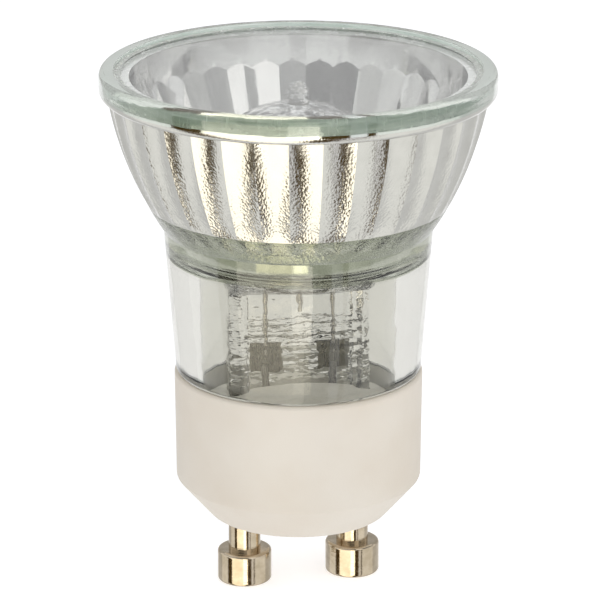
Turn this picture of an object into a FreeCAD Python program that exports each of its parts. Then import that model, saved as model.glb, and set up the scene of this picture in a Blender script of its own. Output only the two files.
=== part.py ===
"""Spotlight bulb with a two-pin twist-lock base: pressed-glass reflector, halogen burner, ceramic base."""
import FreeCAD, Part
import math
import os

from FreeCAD import Vector

# Driving dimensions, in millimetres. Z runs up the lamp's axis from the undersides of the pins,
# and X runs through both pins.

# Contact pins
PIN_SPACING = 10.0
PIN_HEAD_D = 4.9
PIN_HEAD_HEIGHT = 3.0
PIN_HEAD_ROUND = 0.3
PIN_STEM_D = 2.9
PIN_DROP = 6.7
PIN_RIVET_D = 4.2
PIN_RIVET_HEIGHT = 0.5
PIN_HOLE_CLEARANCE = 0.1
PIN_BORE_DEPTH = 2.4

# Ceramic base
BASE_HEIGHT = 13.3
BASE_OVERHANG = 0.16
BASE_DRAFT = 0.1
BASE_EDGE_ROUND = 0.35
BEVEL_HEIGHT = 3.35
BEVEL_WIDTH = 3.0
BASE_FLOOR = 3.0
CUP_DEPTH = 3.8

# Reflector glass
NECK_FOOT_D = 21.9
NECK_TOP_D = 23.9
NECK_HEIGHT = 13.25
NECK_FOOT_ROUND = 0.5
SHOULDER_WIDTH = 1.25
SPIGOT_LENGTH = 3.5
SPIGOT_WALL = 1.3
BOWL_HEIGHT = 12.1
BOWL_MOUTH_D = 33.5
BOWL_BULGE = 0.69
BOWL_WALL = 2.0
CEILING_DROP = 2.2
CEILING_ROUND = 1.2
FLOOR_RISE = 1.1
THROAT_GAP = 0.4
RIM_D = 35.0
RIM_HEIGHT = 2.3
RIM_TOP_ROUND = 0.6
RIM_UNDER_ROUND = 0.65
RIM_LIP = 1.35

# Flutes pressed into the outside of the bowl, and facets pressed into its mirror
FLUTE_COUNT = 36
FLUTE_DEPTH = 0.25
FLUTE_START = 2.1
FLUTE_RUNOUT = 1.3
FACET_COUNT = 36
FACET_BULGE = 0.08
FACET_CROWN = 0.04
FACET_STEP = 0.05
SMOOTH_BAND = 2.5

# Front disc and its adhesive
COVER_THICKNESS = 1.3
COVER_RECESS = 0.35
COVER_EDGE = 0.2
SEAL_GAP = 0.35

# Halogen burner
CAPSULE_D = 12.2
CAPSULE_WALL = 1.0
DOME_HEIGHT = 3.2
DOME_SPRING = 0.75
TIP_D = 1.9
TIP_HEIGHT = 2.0
TIP_CLEARANCE = 0.6
PINCH_WIDTH = 12.4
PINCH_WEB = 2.4
PINCH_EDGE_WIDTH = 1.7
PINCH_EDGE_THICKNESS = 3.8
PINCH_EDGE_ROUND = 0.55
PINCH_HEIGHT = 13.7
PINCH_SINK = 1.5
PINCH_SHOULDER = 3.0
PRESS_RIB_COUNT = 3
PRESS_RIB_DROP = 2.5
PRESS_RIB_PITCH = 1.1
PRESS_RIB_R = 0.35

# Wires, foils and coil
FOIL_PITCH = 6.0
FOIL_WIDTH = 2.8
FOIL_HEIGHT = 2.6
FOIL_THICKNESS = 0.1
FOIL_INSET = 6.3
LEAD_D = 0.7
LEAD_BEND = 0.9
LEAD_RISE = 0.8
INNER_LEAD_D = 0.4
INNER_LEAD_RISE = 3.6
COIL_D = 0.9
COIL_BEND = 1.2
COIL_HEADROOM = 2.4
SUPPORT_D = 0.4
SUPPORT_PLAY = 0.05
SUPPORT_SINK = 2.0
WELD_LAP = 0.6
FUSE_D = 1.7
FUSE_PLAY = 0.05

# Cement
CEMENT_GAP = 0.15
CEMENT_ROOM = 1.0
POTTING_DEPTH = 3.0
POTTING_RISE = 2.2
POTTING_CROWN = 1.6
POTTING_GAP = 0.1

# Heights of the seats, from the pins up
base_bottom = PIN_DROP
base_floor = base_bottom + BASE_FLOOR
base_top = base_bottom + BASE_HEIGHT
cup_floor = base_top - CUP_DEPTH
spigot_end = base_top - SPIGOT_LENGTH
neck_top = base_top + NECK_HEIGHT
ceiling = neck_top - CEILING_DROP
bowl_floor = neck_top + FLOOR_RISE
bowl_top = neck_top + BOWL_HEIGHT
rim_top = bowl_top + RIM_HEIGHT
seat = rim_top - COVER_RECESS - COVER_THICKNESS
facet_top = seat - SMOOTH_BAND
rivet_top = base_floor + PIN_RIVET_HEIGHT
pinch_bottom = cup_floor - PINCH_SINK
lead_bend_high = pinch_bottom - LEAD_BEND
lead_bend_low = lead_bend_high - LEAD_RISE
fuse_top = lead_bend_low - LEAD_BEND
pinch_top = pinch_bottom + PINCH_HEIGHT
capsule_r = CAPSULE_D / 2
body_bottom = pinch_top + capsule_r
tip_top = seat - TIP_CLEARANCE
dome_top = tip_top - TIP_HEIGHT
body_top = dome_top - DOME_HEIGHT
foil_bottom = pinch_bottom + FOIL_INSET
foil_top = foil_bottom + FOIL_HEIGHT
inner_lead_top = pinch_top + INNER_LEAD_RISE
coil_apex = body_top - COIL_HEADROOM

# Radii of the fits, from the neck outward and inward
neck_foot_r = NECK_FOOT_D / 2
neck_top_r = NECK_TOP_D / 2
base_r = neck_foot_r + BASE_OVERHANG
spigot_r = neck_foot_r - SHOULDER_WIDTH
neck_bore_r = spigot_r - SPIGOT_WALL
cup_r = spigot_r + CEMENT_GAP
cavity_r = math.hypot(PINCH_WIDTH / 2, PINCH_EDGE_THICKNESS / 2) + CEMENT_ROOM
throat_r = capsule_r + THROAT_GAP
rim_r = RIM_D / 2
recess_r = rim_r - RIM_LIP
cover_r = recess_r - SEAL_GAP
lead_r = LEAD_D / 2

AXIS = Vector(0, 0, 1)
ORIGIN = Vector(0, 0, 0)
OVERCUT = 1.0
SECTION_COUNT = 5


def corner_arc(before, corner, after, radius):
    """Start, middle and end of the arc that rounds one corner of an outline."""
    inward = (before - corner).normalize()
    outward = (after - corner).normalize()
    half = inward.getAngle(outward) / 2
    reach = radius / math.tan(half)
    bisector = (inward + outward).normalize()
    centre = corner + bisector * (radius / math.sin(half))
    return corner + inward * reach, centre - bisector * radius, corner + outward * reach


def rounded_edges(points, radii, closed):
    """Straight edges through the points, with a tangent arc at each corner that has a radius."""
    count = len(points)
    bends = []
    for index, point in enumerate(points):
        is_end = not closed and index in (0, count - 1)
        if radii[index] and not is_end:
            bends.append(corner_arc(points[index - 1], point, points[(index + 1) % count], radii[index]))
        else:
            bends.append((point,))
    edges = []
    for index, bend in enumerate(bends):
        if len(bend) > 1:
            edges.append(Part.Arc(*bend).toShape())
        if closed or index < count - 1:
            following = bends[(index + 1) % count]
            edges.append(Part.LineSegment(bend[-1], following[0]).toShape())
    return edges


def turned(*corners):
    """Solid of revolution from (radius, height) or (radius, height, rounding) corners."""
    points = [Vector(corner[0], 0, corner[1]) for corner in corners]
    radii = [corner[2] if len(corner) > 2 else 0 for corner in corners]
    face = Part.Face(Part.Wire(rounded_edges(points, radii, closed=True)))
    return face.revolve(ORIGIN, AXIS, 360)


def wire_rod(points, diameter, bend):
    """Round wire along straight runs, with a tangent arc at each bend."""
    path = Part.Wire(rounded_edges(points, [bend] * len(points), closed=False))
    section = Part.Wire(Part.Circle(points[0], points[1] - points[0], diameter / 2).toShape())
    return path.makePipeShell([section], True, False)


def cylinder(radius, bottom, top, x=0):
    return Part.makeCylinder(radius, top - bottom, Vector(x, 0, bottom))


def block(width, depth, bottom, top, x=0):
    return Part.makeBox(width, depth, top - bottom, Vector(x - width / 2, -depth / 2, bottom))


def polar(radius, angle, height):
    return Vector(radius * math.cos(angle), radius * math.sin(angle), height)


def polar_side(radius, angle, height):
    """Point on a circle in the XZ plane round the axis point at a height."""
    return Vector(radius * math.cos(angle), 0, height + radius * math.sin(angle))


def scalloped_outline(count, edge_r, middle_r, height):
    """Closed outline of equal arcs, each with its ends at edge_r and its middle at middle_r.

    One arc is centred on the line through the pins.
    """
    pitch = 2 * math.pi / count
    arcs = []
    for index in range(count):
        start = polar(edge_r, (index - 0.5) * pitch, height)
        middle = polar(middle_r, index * pitch, height)
        end = polar(edge_r, (index + 0.5) * pitch, height)
        arcs.append(Part.Arc(start, middle, end).toShape())
    return Part.Wire(arcs)


def bulged_reach(foot, top, bulge, wall, height):
    """Distance from the axis, at a height, to the arc that bulges outward between two points of a profile.

    With a wall, the arc is moved inward by that thickness.
    """
    chord = top - foot
    outward = Vector(chord.z, 0, -chord.x).normalize()
    radius = chord.Length ** 2 / (8 * bulge) + bulge / 2
    centre = (foot + top) * 0.5 + outward * (bulge - radius)
    return centre.x + math.sqrt((radius - wall) ** 2 - (height - centre.z) ** 2)


def bowl_radius(height, wall=0.0):
    """Radius of the bowl at a height: outside, or a wall's thickness inside it."""
    foot = Vector(neck_top_r, 0, neck_top)
    mouth = Vector(BOWL_MOUTH_D / 2, 0, bowl_top)
    return bulged_reach(foot, mouth, BOWL_BULGE, wall, height)


def facet_outline(height):
    """Outline of the nearly flat facets at a height, each a little crowned towards the axis."""
    flatness = math.cos(math.pi / FACET_COUNT)
    foot_reach = bowl_radius(bowl_floor, BOWL_WALL) * flatness - FACET_CROWN - FACET_STEP
    foot = Vector(foot_reach, 0, bowl_floor)
    top = Vector(bowl_radius(facet_top, BOWL_WALL), 0, facet_top)
    reach = bulged_reach(foot, top, FACET_BULGE, 0.0, height)
    return scalloped_outline(FACET_COUNT, (reach + FACET_CROWN) / flatness, reach, height)


def spread(first, last, count):
    return [first + (last - first) * index / (count - 1) for index in range(count)]


def fluted_bowl():
    """Outside of the bowl: hollow flutes that run out to nothing above a smooth foot."""
    flute_foot = neck_top + FLUTE_START
    plain = [neck_top, flute_foot]
    fluted = spread(flute_foot + FLUTE_RUNOUT, bowl_top, SECTION_COUNT)
    sections = []
    for height in plain + fluted:
        ridge_r = bowl_radius(height)
        depth = FLUTE_DEPTH if height in fluted else 0.0
        sections.append(scalloped_outline(FLUTE_COUNT, ridge_r, ridge_r - depth, height))
    return Part.makeLoft(sections, True, False)


def mirror_hollow():
    """Hollow of the bowl: facets that run out in round arches below a smooth band."""
    foot_r = bowl_radius(bowl_floor, BOWL_WALL)
    mouth_r = bowl_radius(seat, BOWL_WALL)
    middle = (bowl_floor + seat) / 2
    mouth = Vector(mouth_r, 0, seat)
    foot = Vector(foot_r, 0, bowl_floor)
    wall = Part.Arc(foot, Vector(bowl_radius(middle, BOWL_WALL), 0, middle), mouth).toShape()
    corners = [mouth, Vector(0, 0, seat), Vector(0, 0, bowl_floor), foot]
    edges = [Part.LineSegment(start, end).toShape() for start, end in zip(corners, corners[1:])]
    smooth = Part.Face(Part.Wire([wall] + edges)).revolve(ORIGIN, AXIS, 360)
    sections = [facet_outline(height) for height in spread(bowl_floor, seat, SECTION_COUNT)]
    facets = Part.makeLoft(sections, True, False)
    return smooth.common(facets).removeSplitter()


def make_reflector():
    neck = turned(
        (0, spigot_end),
        (spigot_r, spigot_end, CEMENT_GAP),
        (spigot_r, base_top),
        (neck_foot_r, base_top, NECK_FOOT_ROUND),
        (neck_top_r, neck_top),
        (0, neck_top),
    )
    rim = turned(
        (0, bowl_top),
        (rim_r, bowl_top, RIM_UNDER_ROUND),
        (rim_r, rim_top, RIM_TOP_ROUND),
        (0, rim_top),
    )
    neck_hollow = turned(
        (0, spigot_end - OVERCUT),
        (neck_bore_r, spigot_end - OVERCUT),
        (neck_bore_r, ceiling, CEILING_ROUND),
        (0, ceiling),
    )
    throat = cylinder(throat_r, ceiling - OVERCUT, bowl_floor + OVERCUT)
    recess = cylinder(recess_r, seat, rim_top + OVERCUT)
    glass = neck.fuse([fluted_bowl(), rim])
    return glass.cut([mirror_hollow(), recess, throat, neck_hollow]).removeSplitter()


def make_cover_glass():
    top = seat + COVER_THICKNESS
    return turned((0, seat), (cover_r, seat), (cover_r, top, COVER_EDGE), (0, top))


def make_cover_seal():
    top = seat + COVER_THICKNESS
    ring = cylinder(recess_r, seat, top)
    return ring.cut(make_cover_glass())


def pinch_blade():
    """Flat seal with thicker edges, rounded shoulders and ribs pressed across its faces."""
    edge_x = (PINCH_WIDTH - PINCH_EDGE_WIDTH) / 2
    web_top = pinch_top + PINCH_SHOULDER
    web = block(PINCH_WIDTH, PINCH_WEB, pinch_bottom, web_top)
    upper = [edge for edge in web.Edges if edge.BoundBox.ZMin > pinch_top]
    shoulders = [edge for edge in upper if edge.BoundBox.YLength > edge.BoundBox.XLength]
    blade = web.makeFillet(PINCH_SHOULDER, shoulders)
    solids = []
    for x in (-edge_x, edge_x):
        bar = block(PINCH_EDGE_WIDTH, PINCH_EDGE_THICKNESS, pinch_bottom, pinch_top, x)
        upright = [edge for edge in bar.Edges if edge.BoundBox.ZLength > PINCH_EDGE_WIDTH]
        solids.append(bar.makeFillet(PINCH_EDGE_ROUND, upright))
    rib_length = PINCH_WIDTH - PINCH_EDGE_WIDTH
    for index in range(PRESS_RIB_COUNT):
        height = pinch_top - PRESS_RIB_DROP - (index + 0.5) * PRESS_RIB_PITCH
        for y in (-PINCH_WEB / 2, PINCH_WEB / 2):
            start = Vector(-rib_length / 2, y, height)
            solids.append(Part.makeCylinder(PRESS_RIB_R, rib_length, start, Vector(1, 0, 0)))
    return blade.fuse(solids)


def capsule_body(offset, with_tip):
    """Bulb of the burner: round bottom, straight body, pointed dome and exhaust tip, or its hollow."""
    radius = capsule_r - offset
    bottom = body_bottom - radius
    dome = dome_top - offset
    crown_r = TIP_D / 2 if with_tip else 0.0
    crown_pull = body_top + (dome - body_top) * (DOME_SPRING if with_tip else 1.0)
    shoulder = Vector(radius, 0, body_top)
    low = Part.Arc(
        Vector(0, 0, bottom),
        polar_side(radius, math.radians(-45), body_bottom),
        Vector(radius, 0, body_bottom),
    )
    side = Part.LineSegment(Vector(radius, 0, body_bottom), shoulder)
    crown = Part.BezierCurve()
    crown.setPoles([shoulder, Vector(radius, 0, crown_pull), Vector(crown_r, 0, dome)])
    curves = [low, side, crown]
    top = dome
    if with_tip:
        top = tip_top
        shank_top = tip_top - crown_r
        curves.append(Part.LineSegment(Vector(crown_r, 0, dome), Vector(crown_r, 0, shank_top)))
        cap_middle = polar_side(crown_r, math.radians(45), shank_top)
        curves.append(Part.Arc(Vector(crown_r, 0, shank_top), cap_middle, Vector(0, 0, tip_top)))
    curves.append(Part.LineSegment(Vector(0, 0, top), Vector(0, 0, bottom)))
    outline = Part.Wire([curve.toShape() for curve in curves])
    return Part.Face(outline).revolve(ORIGIN, AXIS, 360)


def make_capsule(inserts):
    """Quartz envelope, sealed round the wires and foils that pass through its pinch."""
    glass = capsule_body(0.0, True).fuse(pinch_blade()).removeSplitter()
    glass = glass.cut(capsule_body(CAPSULE_WALL, False))
    for insert in inserts:
        glass = glass.cut(insert)
    return glass


def make_foil(side):
    return block(FOIL_WIDTH, FOIL_THICKNESS, foil_bottom, foil_top, side * FOIL_PITCH / 2)


def make_inner_lead(side):
    """Straight wire, welded to the top of its foil, up into the burner."""
    lead = cylinder(INNER_LEAD_D / 2, foil_top - WELD_LAP, inner_lead_top, side * FOIL_PITCH / 2)
    return lead.cut(make_foil(side))


def coil_path():
    return [
        Vector(-FOIL_PITCH / 2, 0, inner_lead_top - WELD_LAP),
        Vector(0, 0, coil_apex + COIL_BEND),
        Vector(FOIL_PITCH / 2, 0, inner_lead_top - WELD_LAP),
    ]


def make_filament():
    """Coil as its outer form, slipped over the tops of the two inner leads."""
    coil = wire_rod(coil_path(), COIL_D, COIL_BEND)
    return coil.cut([make_inner_lead(-1), make_inner_lead(1)])


def coil_crown_height():
    """Height of the coil's centre line where it bends over."""
    foot, apex, _ = coil_path()
    half = (foot - apex).getAngle(Vector(0, 0, -1))
    return apex.z - COIL_BEND / math.sin(half) + COIL_BEND


def make_filament_support():
    """Wire sealed into the top of the pinch, ending in a ring round the coil."""
    ring_r = COIL_D / 2 + SUPPORT_PLAY + SUPPORT_D / 2
    centre = Vector(0, 0, coil_crown_height())
    ring = Part.makeTorus(ring_r, SUPPORT_D / 2, centre, Vector(1, 0, 0))
    post = cylinder(SUPPORT_D / 2, pinch_top - SUPPORT_SINK, centre.z - ring_r)
    return post.fuse(ring).removeSplitter()


def lead_path(side):
    pin_x = side * PIN_SPACING / 2
    foil_x = side * FOIL_PITCH / 2
    return [
        Vector(pin_x, 0, rivet_top - PIN_BORE_DEPTH),
        Vector(pin_x, 0, lead_bend_low),
        Vector(foil_x, 0, lead_bend_high),
        Vector(foil_x, 0, foil_bottom + WELD_LAP),
    ]


def make_lead(side):
    """Wire from the hollow of a pin up to the bottom of its foil."""
    return wire_rod(lead_path(side), LEAD_D, LEAD_BEND).cut(make_foil(side))


def make_fuse_sleeve():
    """Sleeve on one wire, from the pin's rivet up to where the wire bends."""
    x = PIN_SPACING / 2
    sleeve = cylinder(FUSE_D / 2, rivet_top, fuse_top, x)
    return sleeve.cut(cylinder(lead_r + FUSE_PLAY, rivet_top - OVERCUT, fuse_top + OVERCUT, x))


def make_pin(side):
    """Turned pin: thick head, stem through the base, rivet collar on its floor, bore for the wire."""
    head_r = PIN_HEAD_D / 2
    stem_r = PIN_STEM_D / 2
    pin = turned(
        (0, 0),
        (head_r, 0, PIN_HEAD_ROUND),
        (head_r, PIN_HEAD_HEIGHT, PIN_HEAD_ROUND),
        (stem_r, PIN_HEAD_HEIGHT),
        (stem_r, base_floor),
        (PIN_RIVET_D / 2, base_floor),
        (PIN_RIVET_D / 2, rivet_top, PIN_RIVET_HEIGHT / 2),
        (0, rivet_top),
    )
    pin = pin.cut(cylinder(lead_r, rivet_top - PIN_BORE_DEPTH, rivet_top + OVERCUT))
    return pin.translated(Vector(side * PIN_SPACING / 2, 0, 0))


def make_base_body():
    body = turned(
        (0, base_bottom),
        (base_r - BEVEL_WIDTH, base_bottom, BASE_EDGE_ROUND),
        (base_r - BASE_DRAFT, base_bottom + BEVEL_HEIGHT, BASE_EDGE_ROUND),
        (base_r, base_top, BASE_EDGE_ROUND),
        (0, base_top),
    )
    hollows = [cylinder(cup_r, cup_floor, base_top + OVERCUT), cylinder(cavity_r, base_floor, base_top)]
    hole_r = PIN_STEM_D / 2 + PIN_HOLE_CLEARANCE
    for side in (-1, 1):
        hollows.append(cylinder(hole_r, base_bottom - OVERCUT, base_floor + OVERCUT, side * PIN_SPACING / 2))
    return body.cut(hollows)


def make_base_cement():
    """Thin layer round and under the glass spigot."""
    outer = cylinder(cup_r, cup_floor, base_top)
    spigot = turned((0, spigot_end), (spigot_r, spigot_end, CEMENT_GAP), (spigot_r, base_top), (0, base_top))
    bore = cylinder(neck_bore_r, cup_floor - OVERCUT, base_top)
    return outer.cut([spigot, bore])


def make_capsule_cement(inserts):
    """Potting round the foot of the pinch, from the base up into the neck, with a crowned top."""
    head_r = neck_bore_r - POTTING_GAP
    head_top = cup_floor + POTTING_RISE + POTTING_CROWN
    crown_half = math.atan2(POTTING_CROWN, head_r)
    crown_r = head_r / math.sin(2 * crown_half)
    ball = Part.makeSphere(crown_r, Vector(0, 0, head_top - crown_r))
    head = cylinder(head_r, cup_floor, head_top).common(ball)
    plug = cylinder(cavity_r, cup_floor - POTTING_DEPTH, cup_floor).fuse(head)
    return plug.cut(inserts)


def make_parts():
    parts = {
        "reflector": make_reflector(),
        "cover_glass": make_cover_glass(),
        "cover_seal": make_cover_seal(),
    }
    sides = (("left", -1), ("right", 1))
    sealed = []
    leads = []
    for name, side in sides:
        parts["foil_" + name] = make_foil(side)
        parts["inner_lead_" + name] = make_inner_lead(side)
        parts["lead_" + name] = make_lead(side)
        parts["pin_" + name] = make_pin(side)
        sealed += [parts["foil_" + name], parts["inner_lead_" + name], parts["lead_" + name]]
        leads.append(parts["lead_" + name])
    parts["filament"] = make_filament()
    parts["filament_support"] = make_filament_support()
    parts["fuse_sleeve"] = make_fuse_sleeve()
    parts["capsule"] = make_capsule(sealed + [parts["filament_support"]])
    parts["base_body"] = make_base_body()
    parts["base_cement"] = make_base_cement()
    parts["capsule_cement"] = make_capsule_cement([pinch_blade()] + leads)
    return parts


os.makedirs("parts", exist_ok=True)
for node, shape in make_parts().items():
    shape.exportStep("parts/" + node + ".step")
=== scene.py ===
"""Looks of the spotlight bulb: mirrored pressed glass, quartz burner, ceramic base, nickel pins."""
import math

import bpy
import numpy as np
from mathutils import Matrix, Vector


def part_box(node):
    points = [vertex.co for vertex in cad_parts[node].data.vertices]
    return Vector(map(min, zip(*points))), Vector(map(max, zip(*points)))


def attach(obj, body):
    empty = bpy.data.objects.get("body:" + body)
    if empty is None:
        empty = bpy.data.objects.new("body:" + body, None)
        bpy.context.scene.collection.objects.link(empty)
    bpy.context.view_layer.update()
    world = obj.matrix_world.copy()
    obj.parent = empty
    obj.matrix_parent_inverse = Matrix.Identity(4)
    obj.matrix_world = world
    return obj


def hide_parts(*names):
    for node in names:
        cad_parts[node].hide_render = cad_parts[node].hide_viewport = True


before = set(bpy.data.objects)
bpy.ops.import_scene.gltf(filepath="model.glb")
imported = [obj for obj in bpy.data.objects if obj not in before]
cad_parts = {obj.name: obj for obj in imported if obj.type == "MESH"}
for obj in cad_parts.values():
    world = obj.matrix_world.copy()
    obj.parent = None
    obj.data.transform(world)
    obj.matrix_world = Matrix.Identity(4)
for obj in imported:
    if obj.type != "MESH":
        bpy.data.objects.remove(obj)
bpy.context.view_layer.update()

# Sizes are in millimetres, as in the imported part, and meshes are scaled to metres
MM = 0.001

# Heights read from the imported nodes
base_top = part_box("base_body")[1].z / MM
spigot_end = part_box("reflector")[0].z / MM
rim_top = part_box("reflector")[1].z / MM
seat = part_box("cover_glass")[0].z / MM
pinch_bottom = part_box("capsule")[0].z / MM
tip_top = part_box("capsule")[1].z / MM
inner_lead_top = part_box("inner_lead_left")[1].z / MM

# Reflector glass
NECK_FOOT_R = 10.95
NECK_TOP_R = 11.95
NECK_HEIGHT = 13.25
NECK_FOOT_ROUND = 0.5
SPIGOT_R = 9.7
SPIGOT_ROUND = 0.15
NECK_BORE_R = 8.4
CEILING_DROP = 2.2
CEILING_ROUND = 1.2
FLOOR_RISE = 1.1
THROAT_R = 6.5
THROAT_ROUND = 0.25
BOWL_HEIGHT = 12.1
BOWL_MOUTH_R = 16.75
BOWL_BULGE = 0.69
BOWL_WALL = 2.0
RIM_R = 17.5
RIM_TOP_ROUND = 0.6
RIM_UNDER_ROUND = 0.65
RECESS_R = 16.15
RECESS_ROUND = 0.15
LEDGE_GAP = 0.02

# Flutes on the outside of the bowl, and facets in its mirror
FLUTE_COUNT = 36
FLUTE_DEPTH = 0.25
FLUTE_START = 2.1
FLUTE_RUNOUT = 1.3
COAT_RISE = 0.3
FACET_COUNT = 36
FACET_BULGE = 0.08
FACET_CROWN = 0.04
FACET_STEP = 0.05
SMOOTH_BAND = 2.5
ARCH_ROOM = 0.8

# Stipple on the outside of the glass, by heights from the neck's top and from the coat's foot
STIPPLE_DROP = 0.2
STIPPLE_RISE = 0.6
STIPPLE_FADE = 15.0

# Quartz burner
CAPSULE_R = 6.1
CAPSULE_WALL = 1.0
DOME_HEIGHT = 3.2
DOME_SPRING = 0.75
TIP_R = 0.95
TIP_HEIGHT = 2.0
TIP_SWEEP = 80.0
HOLLOW_SWEEP = 88.0
HOLLOW_TOP_R = 0.1
PINCH_HALF_WIDTH = 6.2
PINCH_HALF_WEB = 1.2
PINCH_HALF_EDGE = 1.9
PINCH_EDGE_WIDTH = 1.7
PINCH_HEIGHT = 13.7
PRESS_RIB_COUNT = 3
PRESS_RIB_DROP = 2.5
PRESS_RIB_PITCH = 1.1
PRESS_RIB_R = 0.35

# Squareness of the burner's section: the flat seal, and the round bulb
BLADE_SQUARENESS = 7.0
ROUND_SQUARENESS = 2.0

# Coil
FOIL_PITCH = 6.0
COIL_D = 0.9
COIL_WIRE_D = 0.16
COIL_TURNS = 34
COIL_HEADROOM = 2.4
WELD_LAP = 0.6

# Rows and steps of the meshes
SCALLOP_STEPS = 16
REFLECTOR_STEPS = FLUTE_COUNT * SCALLOP_STEPS
COLLAR_ROWS = 9
COAT_ROWS = 25
BAND_ROWS = 4
ARCH_ROWS = 25
FACET_ROWS = 15
CAPSULE_STEPS = 144
BLADE_ROWS = 7
RIB_ROWS = 12
WAIST_ROWS = 3
SHOULDER_ROWS = 19
CROWN_ROWS = 14
TIP_ROWS = 6
HOLLOW_ROWS = 15
COIL_TURN_STEPS = 14
CARD_COLUMNS = 8
CEILING_STEPS = 48

neck_top = base_top + NECK_HEIGHT
ceiling = neck_top - CEILING_DROP
bowl_floor = neck_top + FLOOR_RISE
bowl_top = neck_top + BOWL_HEIGHT
ledge = seat - LEDGE_GAP
facet_top = seat - SMOOTH_BAND
coat_foot = neck_top + FLUTE_START + COAT_RISE
pinch_top = pinch_bottom + PINCH_HEIGHT
body_bottom = pinch_top + CAPSULE_R
dome_top = tip_top - TIP_HEIGHT
body_top = dome_top - DOME_HEIGHT
coil_apex = body_top - COIL_HEADROOM

# Camera, in degrees and metres, with its lens and sensor in millimetres
CAMERA_AZIMUTH = -12.2
CAMERA_REACH = 0.320
CAMERA_HEIGHT = 0.1312
CAMERA_AIM = 0.02623
CAMERA_SIDE = 0.00014
CAMERA_CLIP = 0.01
LENS = 226.7
SENSOR = 36.0


# Small tools for meshes

def smooth_step(value):
    value = np.clip(value, 0.0, 1.0)
    return value * value * (3.0 - 2.0 * value)


def rounded_corner(before, corner, after, radius, steps=6):
    """Points of the arc that rounds one corner of an outline."""
    before, corner, after = (np.array(point, float) for point in (before, corner, after))
    inward = (before - corner) / np.linalg.norm(before - corner)
    outward = (after - corner) / np.linalg.norm(after - corner)
    half = math.acos(np.clip(inward @ outward, -1.0, 1.0)) / 2
    bisector = (inward + outward) / np.linalg.norm(inward + outward)
    centre = corner + bisector * radius / math.sin(half)
    start = corner + inward * radius / math.tan(half) - centre
    end = corner + outward * radius / math.tan(half) - centre
    sweep = math.pi - 2 * half
    points = []
    for index in range(steps + 1):
        share = index / steps
        along = math.sin((1 - share) * sweep) * start + math.sin(share * sweep) * end
        points.append(tuple(centre + along / math.sin(sweep)))
    return points


def outline(*corners):
    """Open outline through (radius, height) or (radius, height, rounding) corners."""
    points = []
    for index, corner in enumerate(corners):
        if len(corner) > 2:
            points += rounded_corner(corners[index - 1][:2], corner[:2], corners[index + 1][:2], corner[2])
        else:
            points.append(corner)
    return points


def ring_mesh(name, rings, closed):
    """Mesh object through rings of points, each an array of shape (steps, 3), in millimetres."""
    rings = np.array(rings)
    rows, steps, _ = rings.shape
    last = rows if closed else rows - 1
    faces = []
    for row in range(last):
        lower = row * steps
        upper = ((row + 1) % rows) * steps
        for step in range(steps):
            following = (step + 1) % steps
            faces.append((lower + step, lower + following, upper + following, upper + step))
    if not closed:
        faces.append(tuple(reversed(range(steps))))
        faces.append(tuple(range((rows - 1) * steps, rows * steps)))
    mesh = bpy.data.meshes.new(name)
    mesh.from_pydata((rings.reshape(-1, 3) * MM).tolist(), [], faces)
    mesh.update()
    piece = bpy.data.objects.new(name, mesh)
    bpy.context.scene.collection.objects.link(piece)
    return piece


def soften(piece, sharp_degrees):
    piece.data.polygons.foreach_set("use_smooth", [True] * len(piece.data.polygons))
    piece.data.set_sharp_from_angle(angle=math.radians(sharp_degrees))


def circle_angles(steps):
    return np.linspace(0.0, 2 * math.pi, steps, endpoint=False)


def steps_to(start, end, count):
    """Equal steps from start to end, without the start itself."""
    return np.linspace(start, end, count + 1)[1:]


def bezier_weights(share):
    """Weights of the first, middle and last control point of a curved stretch."""
    return (1 - share) ** 2, 2 * share * (1 - share), share ** 2


def scallop(angles, count):
    """1 in the middle of each of the equal scallops round the axis, 0 on the ridges between them."""
    across = (angles * count / (2 * math.pi) + 0.5) % 1.0
    return 1.0 - (2.0 * across - 1.0) ** 2


# Reflector glass: one closed skin, fluted outside, faceted inside

def bulged_reach(foot, top, bulge, wall, height):
    """Radius, at a height, of the arc that bulges outward between two points of a profile."""
    foot = np.array(foot)
    top = np.array(top)
    chord = top - foot
    length = np.linalg.norm(chord)
    outward = np.array((chord[1], -chord[0])) / length
    radius = length ** 2 / (8 * bulge) + bulge / 2
    centre = (foot + top) / 2 + outward * (bulge - radius)
    return centre[0] + math.sqrt((radius - wall) ** 2 - (height - centre[1]) ** 2)


def bowl_radius(height, wall=0.0):
    return bulged_reach((NECK_TOP_R, neck_top), (BOWL_MOUTH_R, bowl_top), BOWL_BULGE, wall, height)


def neck_radius(height):
    return NECK_FOOT_R + (NECK_TOP_R - NECK_FOOT_R) * (height - base_top) / NECK_HEIGHT


def turned_ring(radius, height, angles):
    radius = np.broadcast_to(radius, angles.shape)
    level = np.full_like(angles, height)
    return np.stack((radius * np.cos(angles), radius * np.sin(angles), level), axis=1)


def fluted_ring(height, angles):
    fade = smooth_step((height - neck_top - FLUTE_START) / FLUTE_RUNOUT)
    hollow = FLUTE_DEPTH * fade * scallop(angles, FLUTE_COUNT)
    return turned_ring(bowl_radius(height) - hollow, height, angles)


def faceted_ring(height, angles):
    """Section of the mirror: crowned facets, or the smooth band where it lies inside them."""
    pitch = 2 * math.pi / FACET_COUNT
    foot_reach = bowl_radius(bowl_floor, BOWL_WALL) * math.cos(pitch / 2) - FACET_CROWN - FACET_STEP
    top = (bowl_radius(facet_top, BOWL_WALL), facet_top)
    reach = bulged_reach((foot_reach, bowl_floor), top, FACET_BULGE, 0.0, height)
    from_middle = (angles + pitch / 2) % pitch - pitch / 2
    crowned = (reach + FACET_CROWN * (1.0 - scallop(angles, FACET_COUNT))) / np.cos(from_middle)
    return turned_ring(np.minimum(bowl_radius(height, BOWL_WALL), crowned), height, angles)


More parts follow.
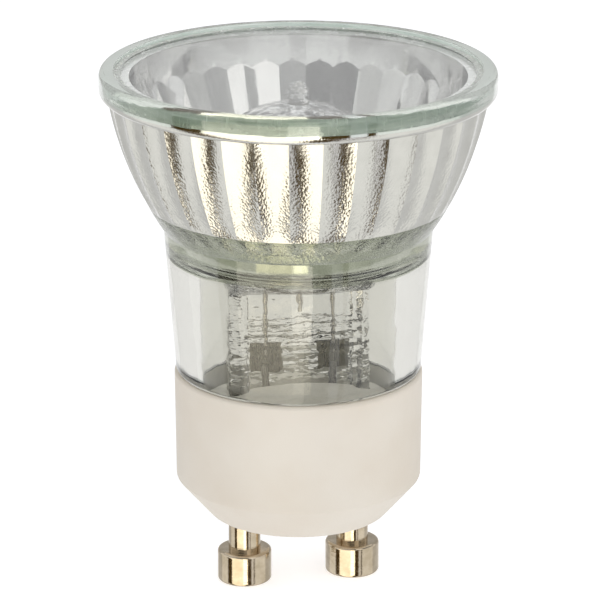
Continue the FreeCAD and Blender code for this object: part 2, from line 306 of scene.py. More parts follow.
def sharpen_ridges(piece, first_row, last_row):
    """Keep the ridges between scallops crisp on some rows of a ring mesh."""
    mesh = piece.data
    ends = np.empty(len(mesh.edges) * 2, dtype=int)
    mesh.edges.foreach_get("vertices", ends)
    rows, steps = np.divmod(ends.reshape(-1, 2), REFLECTOR_STEPS)
    upright = (steps[:, 0] == steps[:, 1]) & (steps[:, 0] % SCALLOP_STEPS == SCALLOP_STEPS // 2)
    inside = (rows.min(axis=1) >= first_row) & (rows.max(axis=1) <= last_row)
    sharp = mesh.attributes["sharp_edge"].data
    values = np.empty(len(mesh.edges), dtype=bool)
    sharp.foreach_get("value", values)
    sharp.foreach_set("value", values | (upright & inside))


def make_reflector_glass(glass, film, flutes, collar, rim, bed):
    angles = circle_angles(REFLECTOR_STEPS)
    rings = []
    for radius, height in outline(
        (NECK_BORE_R, spigot_end),
        (SPIGOT_R, spigot_end, SPIGOT_ROUND),
        (SPIGOT_R, base_top),
        (NECK_FOOT_R, base_top, NECK_FOOT_ROUND),
        (neck_radius(ceiling), ceiling),
        (NECK_TOP_R, neck_top),
    ):
        rings.append(turned_ring(radius, height, angles))
    collar_start = len(rings) - 2
    for height in steps_to(neck_top, coat_foot, COLLAR_ROWS):
        rings.append(fluted_ring(height, angles))
    coat_start = len(rings) - 1
    for height in steps_to(coat_foot, bowl_top, COAT_ROWS):
        rings.append(fluted_ring(height, angles))
    under_rim = rounded_corner(
        (BOWL_MOUTH_R, bowl_top), (RIM_R, bowl_top), (RIM_R, rim_top), RIM_UNDER_ROUND
    )
    for radius, height in under_rim:
        rings.append(turned_ring(radius, height, angles))
    coat_end = len(rings) - 1
    for radius, height in outline(
        (RIM_R, bowl_top),
        (RIM_R, rim_top, RIM_TOP_ROUND),
        (RECESS_R, rim_top, RECESS_ROUND),
        (RECESS_R, ledge),
    )[1:]:
        rings.append(turned_ring(radius, height, angles))
    film_start = len(rings)
    arch_foot = facet_top - ARCH_ROOM
    heights = np.concatenate((
        [ledge],
        steps_to(ledge, facet_top, BAND_ROWS),
        steps_to(facet_top, arch_foot, ARCH_ROWS),
        steps_to(arch_foot, bowl_floor, FACET_ROWS),
    ))
    for height in heights:
        rings.append(faceted_ring(height, angles))
    for radius, height in outline(
        (bowl_radius(bowl_floor, BOWL_WALL), bowl_floor),
        (THROAT_R, bowl_floor, THROAT_ROUND),
        (THROAT_R, ceiling + THROAT_ROUND),
    )[1:]:
        rings.append(turned_ring(radius, height, angles))
    film_end = len(rings) - 1
    for radius, height in outline(
        (THROAT_R, bowl_floor),
        (THROAT_R, ceiling, THROAT_ROUND),
        (NECK_BORE_R, ceiling, CEILING_ROUND),
        (NECK_BORE_R, spigot_end),
    )[2:-1]:
        rings.append(turned_ring(radius, height, angles))
    piece = ring_mesh("reflector_glass", rings, closed=True)
    soften(piece, sharp_degrees=24)
    sharpen_ridges(piece, coat_start, coat_end - len(under_rim))
    sharpen_ridges(piece, film_start, film_start + len(heights) - 1)
    finishes = (glass, film, flutes, collar, rim, bed)
    for material in finishes:
        piece.data.materials.append(material)
    finish_of_row = np.zeros(len(rings), dtype=int)
    finish_of_row[film_start:film_end] = finishes.index(film)
    finish_of_row[coat_start:coat_end] = finishes.index(flutes)
    finish_of_row[collar_start:coat_start] = finishes.index(collar)
    finish_of_row[coat_end:film_start] = finishes.index(rim)
    finish_of_row[film_start - 1] = finishes.index(bed)
    piece.data.polygons.foreach_set("material_index", np.repeat(finish_of_row, REFLECTOR_STEPS).tolist())
    return piece


# Quartz burner: a pinched seal that swells into a round bulb with an exhaust tip

def bezier_crown(radius, top_r, top, spring):
    """(radius, height) points of the dome from the bulb's side to its crown."""
    pull = body_top + (top - body_top) * spring
    points = []
    for share in np.linspace(0.0, 1.0, CROWN_ROWS + 1):
        low, middle, high = bezier_weights(share)
        points.append((
            low * radius + middle * radius + high * top_r,
            low * body_top + middle * pull + high * top,
        ))
    return points


def pinch_ring(height, angles):
    """Section of the seal and of the bulb's shoulder: a flat blade with thick edges, turning round."""
    below = body_bottom - height
    bulb_r = math.sqrt(max(CAPSULE_R ** 2 - below ** 2, 0.0))
    swell = float(smooth_step((height - pinch_top) / CAPSULE_R))
    half_width = PINCH_HALF_WIDTH + (CAPSULE_R - PINCH_HALF_WIDTH) * swell
    half_web = max(PINCH_HALF_WEB, bulb_r)
    roundness = min(1.0, half_web / CAPSULE_R)
    power = 2.0 / (BLADE_SQUARENESS + (ROUND_SQUARENESS - BLADE_SQUARENESS) * roundness)
    x = half_width * np.sign(np.cos(angles)) * np.abs(np.cos(angles)) ** power
    share = np.sign(np.sin(angles)) * np.abs(np.sin(angles)) ** power
    edge_start = PINCH_HALF_WIDTH - PINCH_EDGE_WIDTH
    edge = smooth_step((np.abs(x) - edge_start) / (PINCH_EDGE_WIDTH / 2))
    y = share * (half_web + (PINCH_HALF_EDGE - PINCH_HALF_WEB) * edge * (1 - swell))
    for index in range(PRESS_RIB_COUNT):
        offset = height - pinch_top + PRESS_RIB_DROP + (index + 0.5) * PRESS_RIB_PITCH
        if abs(offset) < PRESS_RIB_R:
            y = y + share * (1 - edge) * math.sqrt(PRESS_RIB_R ** 2 - offset ** 2)
    return np.stack((x, y, np.full_like(angles, height)), axis=1)


def make_quartz_burner(quartz):
    angles = circle_angles(CAPSULE_STEPS)
    ribs_top = pinch_top - PRESS_RIB_DROP
    ribs_foot = ribs_top - PRESS_RIB_COUNT * PRESS_RIB_PITCH
    heights = np.concatenate((
        [pinch_bottom],
        steps_to(pinch_bottom, ribs_foot, BLADE_ROWS),
        steps_to(ribs_foot, ribs_top, PRESS_RIB_COUNT * RIB_ROWS),
        steps_to(ribs_top, pinch_top, WAIST_ROWS),
        steps_to(pinch_top, body_bottom, SHOULDER_ROWS),
    ))
    rings = [pinch_ring(height, angles) for height in heights]
    shank_top = tip_top - TIP_R
    profile = bezier_crown(CAPSULE_R, TIP_R, dome_top, DOME_SPRING)
    profile.append((TIP_R, shank_top))
    for turn in steps_to(0.0, TIP_SWEEP, TIP_ROWS):
        rise = math.radians(turn)
        profile.append((TIP_R * math.cos(rise), shank_top + TIP_R * math.sin(rise)))
    for radius, height in profile:
        rings.append(turned_ring(radius, height, angles))
    piece = ring_mesh("quartz_burner", rings, closed=False)
    hollow_r = CAPSULE_R - CAPSULE_WALL
    hollow = []
    for turn in np.linspace(HOLLOW_SWEEP, 0.0, HOLLOW_ROWS + 1):
        fall = math.radians(turn)
        hollow.append((hollow_r * math.cos(fall), body_bottom - hollow_r * math.sin(fall)))
    hollow += bezier_crown(hollow_r, HOLLOW_TOP_R, dome_top - CAPSULE_WALL, spring=1.0)
    inner = ring_mesh("burner_hollow", [turned_ring(r, h, angles) for r, h in hollow], closed=False)
    inner.data.flip_normals()
    for shell in (piece, inner):
        soften(shell, sharp_degrees=40)
        shell.data.materials.append(quartz)
    with bpy.context.temp_override(active_object=piece, selected_editable_objects=[piece, inner]):
        bpy.ops.object.join()
    return piece


def make_coil(tungsten):
    """Tungsten coil, wound round the bent line between the two inner leads."""
    foot = np.array((-FOIL_PITCH / 2, 0.0, inner_lead_top - WELD_LAP))
    apex = np.array((0.0, 0.0, coil_apex))
    foot_end = foot * (-1, 1, 1)
    control = 2 * apex - (foot + foot_end) / 2
    depthwise = np.array((0.0, 1.0, 0.0))
    curve = bpy.data.curves.new("filament_coil", "CURVE")
    curve.dimensions = "3D"
    curve.bevel_depth = COIL_WIRE_D / 2 * MM
    curve.bevel_resolution = 1
    spline = curve.splines.new("POLY")
    count = COIL_TURNS * COIL_TURN_STEPS
    spline.points.add(count)
    winding_r = (COIL_D - COIL_WIRE_D) / 2
    for index in range(count + 1):
        share = index / count
        low, middle, high = bezier_weights(share)
        centre = low * foot + middle * control + high * foot_end
        along = 2 * (1 - share) * (control - foot) + 2 * share * (foot_end - control)
        along = along / np.linalg.norm(along)
        side = np.array((-along[2], 0.0, along[0]))
        turn = 2 * math.pi * COIL_TURNS * share
        point = centre + winding_r * (math.cos(turn) * side + math.sin(turn) * depthwise)
        spline.points[index].co = (*(point * MM), 1.0)
    piece = bpy.data.objects.new("filament_coil", curve)
    bpy.context.scene.collection.objects.link(piece)
    curve.materials.append(tungsten)
    return piece


# Shared effects: each group gives one mask that changes over the surface

def new_group(name, inputs, outputs):
    group = bpy.data.node_groups.new(name, "ShaderNodeTree")
    for label, kind, value in inputs:
        socket = group.interface.new_socket(label, in_out="INPUT", socket_type=kind)
        socket.default_value = value
    for label, kind in outputs:
        group.interface.new_socket(label, in_out="OUTPUT", socket_type=kind)
    return group, group.nodes.new("NodeGroupInput"), group.nodes.new("NodeGroupOutput")


def make_grain_group():
    """Noise in the piece's own space: Size is the grains per metre, Stretch draws them out."""
    group, given, result = new_group(
        "grain",
        [
            ("Size", "NodeSocketFloat", 1000.0),
            ("Stretch", "NodeSocketVector", (1.0, 1.0, 1.0)),
            ("Detail", "NodeSocketFloat", 2.0),
            ("Low", "NodeSocketFloat", 0.35),
            ("High", "NodeSocketFloat", 0.65),
        ],
        [("Mask", "NodeSocketFloat")],
    )
    place = group.nodes.new("ShaderNodeTexCoord")
    drawn = group.nodes.new("ShaderNodeVectorMath")
    drawn.operation = "MULTIPLY"
    noise = group.nodes.new("ShaderNodeTexNoise")
    spread = group.nodes.new("ShaderNodeMapRange")
    group.links.new(place.outputs["Object"], drawn.inputs[0])
    group.links.new(given.outputs["Stretch"], drawn.inputs[1])
    group.links.new(drawn.outputs["Vector"], noise.inputs["Vector"])
    group.links.new(given.outputs["Size"], noise.inputs["Scale"])
    group.links.new(given.outputs["Detail"], noise.inputs["Detail"])
    group.links.new(noise.outputs["Fac"], spread.inputs["Value"])
    group.links.new(given.outputs["Low"], spread.inputs["From Min"])
    group.links.new(given.outputs["High"], spread.inputs["From Max"])
    group.links.new(spread.outputs["Result"], result.inputs["Mask"])
    return group


GRAIN = make_grain_group()


def add_grain(tree, size, stretch=(1.0, 1.0, 1.0), detail=2.0, low=0.35, high=0.65):
    node = tree.nodes.new("ShaderNodeGroup")
    node.node_tree = GRAIN
    node.inputs["Size"].default_value = size
    node.inputs["Stretch"].default_value = stretch
    node.inputs["Detail"].default_value = detail
    node.inputs["Low"].default_value = low
    node.inputs["High"].default_value = high
    return node.outputs["Mask"]


def make_dimple_group():
    """Small round dimples in the piece's own space: Size is the dimples per metre."""
    group, given, result = new_group(
        "dimples", [("Size", "NodeSocketFloat", 1000.0)], [("Mask", "NodeSocketFloat")]
    )
    place = group.nodes.new("ShaderNodeTexCoord")
    cells = group.nodes.new("ShaderNodeTexVoronoi")
    group.links.new(place.outputs["Object"], cells.inputs["Vector"])
    group.links.new(given.outputs["Size"], cells.inputs["Scale"])
    group.links.new(cells.outputs["Distance"], result.inputs["Mask"])
    return group


DIMPLES = make_dimple_group()


def add_dimples(tree, size):
    node = tree.nodes.new("ShaderNodeGroup")
    node.node_tree = DIMPLES
    node.inputs["Size"].default_value = size
    return node.outputs["Mask"]


def make_height_group():
    """Mask that rises from 0 to 1 between two heights of the piece, in metres."""
    group, given, result = new_group(
        "height_mask",
        [("Low", "NodeSocketFloat", 0.0), ("High", "NodeSocketFloat", 1.0)],
        [("Mask", "NodeSocketFloat")],
    )
    place = group.nodes.new("ShaderNodeTexCoord")
    parts = group.nodes.new("ShaderNodeSeparateXYZ")
    spread = group.nodes.new("ShaderNodeMapRange")
    spread.interpolation_type = "SMOOTHSTEP"
    group.links.new(place.outputs["Object"], parts.inputs["Vector"])
    group.links.new(parts.outputs["Z"], spread.inputs["Value"])
    group.links.new(given.outputs["Low"], spread.inputs["From Min"])
    group.links.new(given.outputs["High"], spread.inputs["From Max"])
    group.links.new(spread.outputs["Result"], result.inputs["Mask"])
    return group


HEIGHT = make_height_group()


def add_height_mask(tree, low, high):
    """Mask over two heights in millimetres."""
    node = tree.nodes.new("ShaderNodeGroup")
    node.node_tree = HEIGHT
    node.inputs["Low"].default_value = low * MM
    node.inputs["High"].default_value = high * MM
    return node.outputs["Mask"]


def scale_mask(tree, mask, by):
    product = tree.nodes.new("ShaderNodeMath")
    product.operation = "MULTIPLY"
    tree.links.new(mask, product.inputs[0])
    tree.links.new(by, product.inputs[1])
    return product.outputs["Value"]


def new_finish(name, **sockets):
    """Material with a Principled BSDF whose plain values are given by socket name."""
    material = bpy.data.materials.new(name)
    material.use_nodes = True
    tree = material.node_tree
    shader = tree.nodes["Principled BSDF"]
    for socket, value in sockets.items():
        shader.inputs[socket.replace("_", " ")].default_value = value
    return material, tree, shader


def vary_colour(tree, shader, mask, first, second):
    mix = tree.nodes.new("ShaderNodeMix")
    mix.data_type = "RGBA"
    mix.inputs["A"].default_value = (*first, 1.0)
    mix.inputs["B"].default_value = (*second, 1.0)
    tree.links.new(mask, mix.inputs["Factor"])
    tree.links.new(mix.outputs["Result"], shader.inputs["Base Color"])


def vary_roughness(tree, shader, mask, least, most):
    spread = tree.nodes.new("ShaderNodeMapRange")
    spread.inputs["To Min"].default_value = least
    spread.inputs["To Max"].default_value = most
    tree.links.new(mask, spread.inputs["Value"])
    tree.links.new(spread.outputs["Result"], shader.inputs["Roughness"])


def raise_bump(tree, shader, mask, depth, strength=1.0):
    """Bump of a depth in millimetres."""
    bump = tree.nodes.new("ShaderNodeBump")
    bump.inputs["Distance"].default_value = depth * MM
    bump.inputs["Strength"].default_value = strength
    tree.links.new(mask, bump.inputs["Height"])
    tree.links.new(bump.outputs["Normal"], shader.inputs["Normal"])


def deepen_edges(tree, shader, colour):
    """Draws the colour of thick glass toward another where the look through it is long."""
    grazing = tree.nodes.new("ShaderNodeLayerWeight")
    mix = tree.nodes.new("ShaderNodeMix")
    mix.data_type = "RGBA"
    mix.inputs["B"].default_value = (*colour, 1.0)
    tree.links.new(shader.inputs["Base Color"].links[0].from_socket, mix.inputs["A"])
    tree.links.new(grazing.outputs["Facing"], mix.inputs["Factor"])
    tree.links.new(mix.outputs["Result"], shader.inputs["Base Color"])


def open_from_inside(tree, shader):
    """Lets light that is inside the glass out through the surface."""
    geometry = tree.nodes.new("ShaderNodeNewGeometry")
    front = tree.nodes.new("ShaderNodeMath")
    front.operation = "SUBTRACT"
    front.inputs[0].default_value = 1.0
    tree.links.new(geometry.outputs["Backfacing"], front.inputs[1])
    tree.links.new(front.outputs["Value"], shader.inputs["Alpha"])


def make_pressed_glass():
    """Clear glass of the neck."""
    material, tree, shader = new_finish(
        "pressed_glass", Transmission_Weight=1.0, IOR=1.5, Specular_IOR_Level=1.0
    )
    waves = add_grain(tree, size=420.0, detail=1.0, low=0.3, high=0.7)
    vary_colour(tree, shader, waves, (0.765, 0.760, 0.718), (0.785, 0.780, 0.738))
    vary_roughness(tree, shader, waves, least=0.0, most=0.02)
    raise_bump(tree, shader, waves, depth=0.03, strength=0.5)
    return material


def make_mirror_film():
    """Bright film in the bowl, on the glass that the plunger pressed smooth."""
    material, tree, shader = new_finish("mirror_film", Metallic=1.0)
    ripple = add_grain(tree, size=1800.0, detail=2.0)
    clouds = add_grain(tree, size=500.0)
    vary_colour(tree, shader, clouds, (0.86, 0.86, 0.85), (0.90, 0.90, 0.89))
    vary_roughness(tree, shader, clouds, least=0.04, most=0.08)
    raise_bump(tree, shader, ripple, depth=0.0015, strength=0.5)
    return material


def make_silvered_flutes():
    """The film's back as it shows through the outside of the bowl, more stippled toward the foot."""
    material, tree, shader = new_finish(
        "silvered_flutes", Metallic=1.0, Coat_Weight=0.5, Coat_Roughness=0.12
    )
    toward_foot = add_height_mask(tree, low=coat_foot + STIPPLE_FADE, high=coat_foot)
    stipple = scale_mask(tree, add_dimples(tree, size=4000.0), toward_foot)
    clouds = add_grain(tree, size=600.0)
    vary_colour(tree, shader, clouds, (0.66, 0.655, 0.63), (0.71, 0.705, 0.68))
    vary_roughness(tree, shader, clouds, least=0.16, most=0.24)
    raise_bump(tree, shader, stipple, depth=0.034)
    open_from_inside(tree, shader)
    return material


def make_stippled_glass():
    """Glass of the collar, whose stippled outside blurs what is behind it, tinted dark grey-green as
    painted shade for the dim throat seen through it.
    """
    material, tree, shader = new_finish(
        "stippled_glass", Transmission_Weight=1.0, IOR=1.5, Coat_Weight=0.5, Coat_Roughness=0.03
    )
    upper = add_height_mask(tree, low=neck_top - STIPPLE_DROP, high=neck_top + STIPPLE_RISE)
    stipple = scale_mask(tree, add_grain(tree, size=3000.0, detail=2.0), upper)
    clouds = add_grain(tree, size=700.0)
    # Painted shade: this dark grey-green is far darker than the neck's glass and stands in for the dim
    # throat seen through the collar
    vary_colour(tree, shader, clouds, (0.268, 0.291, 0.216), (0.342, 0.367, 0.282))
    vary_roughness(tree, shader, upper, least=0.10, most=0.24)
    raise_bump(tree, shader, stipple, depth=0.07)
    return material


def make_rim_glass():
    """Thick fire-polished rim, greener than the thin walls."""
    material, tree, shader = new_finish(
        "rim_glass", Transmission_Weight=1.0, IOR=1.5, Coat_Weight=1.0, Coat_Roughness=0.02
    )
    waves = add_grain(tree, size=420.0, stretch=(0.5, 0.5, 5.0), detail=2.0)
    vary_colour(tree, shader, waves, (0.43, 0.51, 0.46), (0.68, 0.74, 0.70))
    deepen_edges(tree, shader, (0.30, 0.37, 0.31))
    vary_roughness(tree, shader, waves, least=0.02, most=0.10)
    raise_bump(tree, shader, waves, depth=0.03, strength=0.5)
    return material


def make_clear_glass():
    """Flat glass of the front disc."""
    material, tree, shader = new_finish("clear_front_glass", Transmission_Weight=1.0, IOR=1.5)
    waves = add_grain(tree, size=150.0, detail=1.0)
    vary_colour(tree, shader, waves, (0.975, 0.985, 0.98), (0.99, 0.995, 0.992))
    vary_roughness(tree, shader, waves, least=0.0, most=0.01)
    raise_bump(tree, shader, waves, depth=0.01, strength=0.3)
    return material


def make_quartz():
    """Quartz of the burner, uneven where it was worked hot."""
    material, tree, shader = new_finish("fused_quartz", Transmission_Weight=1.0, IOR=1.46)
    ripple = add_grain(tree, size=520.0, stretch=(1.0, 1.0, 2.2), detail=2.0)
    vary_colour(tree, shader, ripple, (0.96, 0.965, 0.96), (0.99, 0.99, 0.99))
    vary_roughness(tree, shader, ripple, least=0.0, most=0.06)
    raise_bump(tree, shader, ripple, depth=0.16)
    return material


def make_seal_adhesive():
    material, tree, shader = new_finish("clear_adhesive", Transmission_Weight=0.4, IOR=1.42)
    clouds = add_grain(tree, size=700.0, detail=3.0)
    vary_colour(tree, shader, clouds, (0.86, 0.90, 0.86), (0.95, 0.97, 0.95))
    vary_roughness(tree, shader, clouds, least=0.1, most=0.35)
    raise_bump(tree, shader, clouds, depth=0.03, strength=0.6)
    return material


def make_ceramic():
    material, tree, shader = new_finish("steatite_ceramic", IOR=1.55)
    clouds = add_grain(tree, size=120.0, detail=4.0)
    pores = add_grain(tree, size=6500.0, detail=2.0, low=0.3, high=0.7)
    vary_colour(tree, shader, clouds, (0.700, 0.635, 0.545), (0.740, 0.688, 0.608))
    vary_roughness(tree, shader, pores, least=0.42, most=0.6)
    raise_bump(tree, shader, pores, depth=0.01, strength=0.35)
    return material


def make_nickel():
    """Plating of the pins, over the fine rings that a lathe leaves."""
    material, tree, shader = new_finish("nickel_plate", Metallic=1.0)
    lathe = add_grain(tree, size=900.0, stretch=(1.0, 1.0, 9.0), detail=3.0)
    clouds = add_grain(tree, size=900.0, detail=4.0)
    vary_colour(tree, shader, clouds, (0.50, 0.42, 0.31), (0.64, 0.55, 0.43))
    vary_roughness(tree, shader, clouds, least=0.06, most=0.16)
    raise_bump(tree, shader, lathe, depth=0.006, strength=0.6)
    return material


def make_drawn_wire(name, dark, light, rough):
    """Metal with the fine lines of drawing or rolling along it."""
    material, tree, shader = new_finish(name, Metallic=1.0)
    drawn = add_grain(tree, size=5000.0, stretch=(1.0, 1.0, 0.08), detail=2.0)
    vary_colour(tree, shader, drawn, dark, light)
    vary_roughness(tree, shader, drawn, least=rough - 0.08, most=rough + 0.08)
    raise_bump(tree, shader, drawn, depth=0.006, strength=0.5)
    return material


def make_cement(name, dark, light, lump):
    """Gritty matt finish with lumps of a depth in millimetres."""
    material, tree, shader = new_finish(name)
    grit = add_grain(tree, size=2600.0, detail=5.0)
    vary_colour(tree, shader, grit, dark, light)
    vary_roughness(tree, shader, grit, least=0.75, most=0.95)
    raise_bump(tree, shader, grit, lump, strength=0.9)
    return material


# Pieces and their finishes

def dress(material, slot, *names):
    for name in names:
        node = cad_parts[name]
        node.data.materials.clear()
        node.data.materials.append(material)


adhesive = make_seal_adhesive()
reflector = make_reflector_glass(
    make_pressed_glass(),
    make_mirror_film(),
    make_silvered_flutes(),
    make_stippled_glass(),
    make_rim_glass(),
    adhesive,
)
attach(reflector, "root")
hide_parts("reflector")

burner = make_quartz_burner(make_quartz())
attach(burner, "root")
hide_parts("capsule")

tungsten = make_drawn_wire("tungsten_wire", (0.16, 0.155, 0.15), (0.30, 0.29, 0.28), rough=0.4)
coil = make_coil(tungsten)
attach(coil, "root")
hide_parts("filament")

nickel_wire = make_drawn_wire("nickel_wire", (0.36, 0.34, 0.31), (0.58, 0.56, 0.52), rough=0.3)
foil_strip = make_drawn_wire("molybdenum_foil", (0.20, 0.19, 0.16), (0.26, 0.25, 0.21), rough=0.3)
lead_wire = make_drawn_wire("molybdenum_wire", (0.42, 0.40, 0.37), (0.60, 0.58, 0.54), rough=0.25)
sleeve = make_cement("sleeve_fibre", (0.60, 0.58, 0.52), (0.74, 0.72, 0.66), lump=0.02)
potting = make_cement("potting_cement", (0.88, 0.865, 0.815), (0.95, 0.935, 0.895), lump=0.02)
dress(make_clear_glass(), "cover_glass", "cover_glass")
dress(adhesive, "seal", "cover_seal")
dress(make_ceramic(), "ceramic", "base_body")
dress(make_nickel(), "nickel", "pin_left", "pin_right")
dress(foil_strip, "molybdenum", "foil_left", "foil_right")
dress(lead_wire, "molybdenum", "inner_lead_left", "inner_lead_right", "filament_support")
dress(nickel_wire, "nickel_wire", "lead_left", "lead_right")
dress(sleeve, "sleeve", "fuse_sleeve")
dress(potting, "cement", "base_cement", "capsule_cement")


# Floor and backdrop

FLOOR_REACH = 2.0
BACKDROP_LAMP_SHARE = 0.70


def backdrop_strength(tree, lamp_share):
    """Strength that is 1 for what the camera, metal and glass see, and a share of that for other rays."""
    path = tree.nodes.new("ShaderNodeLightPath")
    seen = path.outputs["Is Camera Ray"]
    for ray in ("Is Glossy Ray", "Is Transmission Ray"):
        either = tree.nodes.new("ShaderNodeMath")
        either.operation = "MAXIMUM"
        tree.links.new(seen, either.inputs[0])
        tree.links.new(path.outputs[ray], either.inputs[1])
        seen = either.outputs["Value"]
    strength = tree.nodes.new("ShaderNodeMapRange")
    strength.inputs["To Min"].default_value = lamp_share
    strength.inputs["To Max"].default_value = 1.0
    tree.links.new(seen, strength.inputs["Value"])
    return strength.outputs["Result"]


def make_world():
    world = bpy.data.worlds.new("white_studio")
    world.use_nodes = True
    tree = world.node_tree
    backdrop = tree.nodes["Background"]
    backdrop.inputs["Color"].default_value = (1.0, 1.0, 1.0, 1.0)
    tree.links.new(backdrop_strength(tree, BACKDROP_LAMP_SHARE), backdrop.inputs["Strength"])
    bpy.context.scene.world = world


def make_floor():
    mesh = bpy.data.meshes.new("studio_floor")
    corners = [(x * FLOOR_REACH, y * FLOOR_REACH, 0.0) for x, y in ((-1, -1), (1, -1), (1, 1), (-1, 1))]
    mesh.from_pydata(corners, [], [tuple(range(len(corners)))])
    floor = bpy.data.objects.new("studio_floor", mesh)
    bpy.context.scene.collection.objects.link(floor)
    material, tree, shader = new_finish(
        "pale_floor", Roughness=0.9, Emission_Color=(0.42, 0.43, 0.455, 1.0), Emission_Strength=1.0
    )
    paper = add_grain(tree, size=300.0, detail=3.0)
    vary_colour(tree, shader, paper, (0.90, 0.90, 0.90), (0.92, 0.92, 0.92))
    mesh.materials.append(material)
    floor.visible_glossy = False
    floor.visible_transmission = False


# Cards round the bulb, in metres: they stand in for the room that metal and glass show

CARD_REACH = 0.55
CARD_NEAR = 0.50
CARD_CEILING_R = 0.275
CARD_LOW = -2.2
CARD_NECK = -0.27
CARD_FLOOR = 0.0
CARD_SPLIT = 0.21
CARD_BACK = 0.5
CARD_HIGH = 0.62

LOW_BAND = (CARD_LOW, CARD_FLOOR)
NECK_BAND = (CARD_NECK, CARD_FLOOR)
MIDDLE_BAND = (CARD_FLOOR, CARD_SPLIT)
HIGH_BAND = (CARD_SPLIT, CARD_HIGH)
BACK_BAND = (CARD_FLOOR, CARD_BACK)

WARM_LIGHT = (1.0, 0.93, 0.77)
BROWN_SHADE = (0.085, 0.055, 0.02)
IVORY_WALL = (1.0, 1.0, 0.96)


def hang_card(name, points, faces, colour, strength, through_glass):
    """Glowing card that shows in reflections, and through glass where asked, but not to the camera."""
    mesh = bpy.data.meshes.new(name)
    mesh.from_pydata(points, [], faces)
    card = bpy.data.objects.new(name, mesh)
    bpy.context.scene.collection.objects.link(card)
    material, _, _ = new_finish(
        name,
        Roughness=1.0,
        Base_Color=(0.0, 0.0, 0.0, 1.0),
        Specular_IOR_Level=0.0,
        Emission_Color=(*colour, 1.0),
        Emission_Strength=strength,
    )
    mesh.materials.append(material)
    card.visible_camera = False
    card.visible_diffuse = False
    card.visible_transmission = through_glass
    card.visible_shadow = False


def make_card(name, band, start, end, colour, strength=1.0, reach=CARD_REACH, through_glass=True):
    """Upright curved card over a band of heights, between two angles from the camera's direction."""
    angles = np.radians(np.linspace(start, end, CARD_COLUMNS + 1) + CAMERA_AZIMUTH)
    points = []
    for angle in angles:
        for height in band:
            points.append((reach * math.sin(angle), -reach * math.cos(angle), height))
    faces = [(2 * i, 2 * i + 2, 2 * i + 3, 2 * i + 1) for i in range(CARD_COLUMNS)]
    hang_card(name, points, faces, colour, strength, through_glass)


def make_ceiling_card(colour):
    """Level round card over the bulb, for the mirror as it is seen from above."""
    points = turned_ring(CARD_CEILING_R, CARD_HIGH, circle_angles(CEILING_STEPS)).tolist()
    faces = [tuple(range(len(points)))]
    hang_card("ceiling_card", points, faces, colour, strength=1.0, through_glass=True)


def make_low_cards():
    """Below the floor, which metal and glass don't show: light and shade for the flutes and the neck."""
    make_card("low_softbox", LOW_BAND, -55.0, 5.0, WARM_LIGHT, strength=2.0)
    make_card("low_flag_left", LOW_BAND, -75.0, -55.0, BROWN_SHADE, through_glass=False)
    make_card("low_wall_left", LOW_BAND, -112.0, -75.0, IVORY_WALL)
    make_card("low_wall_far_left", LOW_BAND, -150.0, -112.0, (0.66, 0.66, 0.645), through_glass=False)
    make_card("low_flag_right", LOW_BAND, 5.0, 29.0, BROWN_SHADE, through_glass=False)
    make_card("low_flag_far", LOW_BAND, 39.0, 44.0, BROWN_SHADE, through_glass=False)
    make_card("low_wall_right", LOW_BAND, 44.0, 100.0, IVORY_WALL)
    make_card("low_wall_far_right", LOW_BAND, 100.0, 150.0, (0.70, 0.70, 0.685), through_glass=False)
    make_card("neck_softbox", NECK_BAND, -6.0, 12.0, (1.0, 0.94, 0.80), strength=3.5, reach=CARD_NEAR)


def make_middle_cards():
    """Pale walls from the floor to above the camera."""
    make_card("middle_wall_far", MIDDLE_BAND, -100.0, -35.0, (1.0, 1.0, 0.99))
    make_card("middle_wall", MIDDLE_BAND, -35.0, 30.0, (0.78, 0.78, 0.77))
    make_card("middle_wall_right", MIDDLE_BAND, 30.0, 100.0, (0.92, 0.92, 0.91))


def make_high_cards():
    """Above the camera: a dark room, grey walls and one softbox."""
    make_card("high_wall_far", HIGH_BAND, -110.0, -64.0, (0.66, 0.66, 0.65))
    make_card("high_wall_left", HIGH_BAND, -64.0, -46.0, (0.46, 0.46, 0.45))
    make_card("high_room", HIGH_BAND, -46.0, -6.0, (0.05, 0.05, 0.055))
    make_card("high_shade", HIGH_BAND, -6.0, 18.5, (0.27, 0.27, 0.27))
    make_card("high_softbox", HIGH_BAND, 18.5, 49.0, (1.0, 0.985, 0.97), strength=1.25)
    make_card("high_flag", HIGH_BAND, 49.0, 72.0, (0.24, 0.24, 0.24))
    make_card("high_wall_right", HIGH_BAND, 72.0, 110.0, (0.40, 0.40, 0.39))


# Lamps and camera

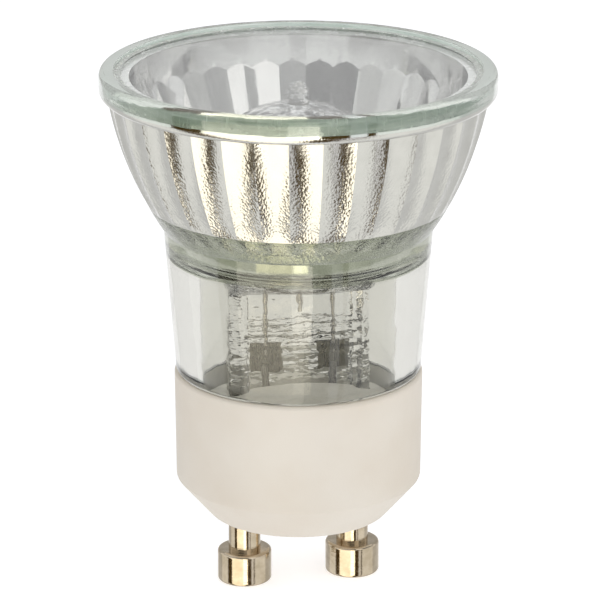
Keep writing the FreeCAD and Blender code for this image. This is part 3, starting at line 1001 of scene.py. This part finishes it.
def make_lamp(name, azimuth, elevation, distance, size, power, colour):
    """Square soft lamp, at angles from the camera's direction, turned to the bulb."""
    light = bpy.data.lights.new(name, "AREA")
    light.shape = "SQUARE"
    light.size = size
    light.energy = power
    light.color = colour
    lamp = bpy.data.objects.new(name, light)
    bpy.context.scene.collection.objects.link(lamp)
    turn = math.radians(azimuth + CAMERA_AZIMUTH)
    rise = math.radians(elevation)
    back = Vector((math.sin(turn) * math.cos(rise), -math.cos(turn) * math.cos(rise), math.sin(rise)))
    lamp.location = back * distance + Vector((0.0, 0.0, CAMERA_AIM))
    lamp.rotation_euler = (-back).to_track_quat("-Z", "Y").to_euler()
    lamp.visible_glossy = False


def make_camera():
    data = bpy.data.cameras.new("camera")
    data.sensor_width = SENSOR
    data.lens = LENS
    data.clip_start = CAMERA_CLIP
    camera = bpy.data.objects.new("camera", data)
    bpy.context.scene.collection.objects.link(camera)
    turn = math.radians(CAMERA_AZIMUTH)
    camera.location = (CAMERA_REACH * math.sin(turn), -CAMERA_REACH * math.cos(turn), CAMERA_HEIGHT)
    aim = Vector((CAMERA_SIDE * math.cos(turn), CAMERA_SIDE * math.sin(turn), CAMERA_AIM))
    camera.rotation_euler = (aim - camera.location).to_track_quat("-Z", "Y").to_euler()
    bpy.context.scene.camera = camera


make_world()
make_floor()
make_low_cards()
make_middle_cards()
make_high_cards()
make_ceiling_card((0.62, 0.62, 0.63))
make_card("back_wall", BACK_BAND, 120.0, 240.0, (0.50, 0.50, 0.49), through_glass=False)
make_lamp(
    "key_softbox",
    azimuth=5.0,
    elevation=35.0,
    distance=0.8,
    size=0.5,
    power=0.85,
    colour=(1.0, 0.96, 0.90),
)
make_lamp(
    "fill_softbox",
    azimuth=55.0,
    elevation=25.0,
    distance=0.9,
    size=0.6,
    power=0.5,
    colour=(1.0, 0.98, 0.96),
)
make_camera()

scene = bpy.context.scene
scene.view_settings.view_transform = "Standard"
scene.cycles.transmission_bounces = 16
scene.cycles.max_bounces = 20
scene.cycles.blur_glossy = 0.0
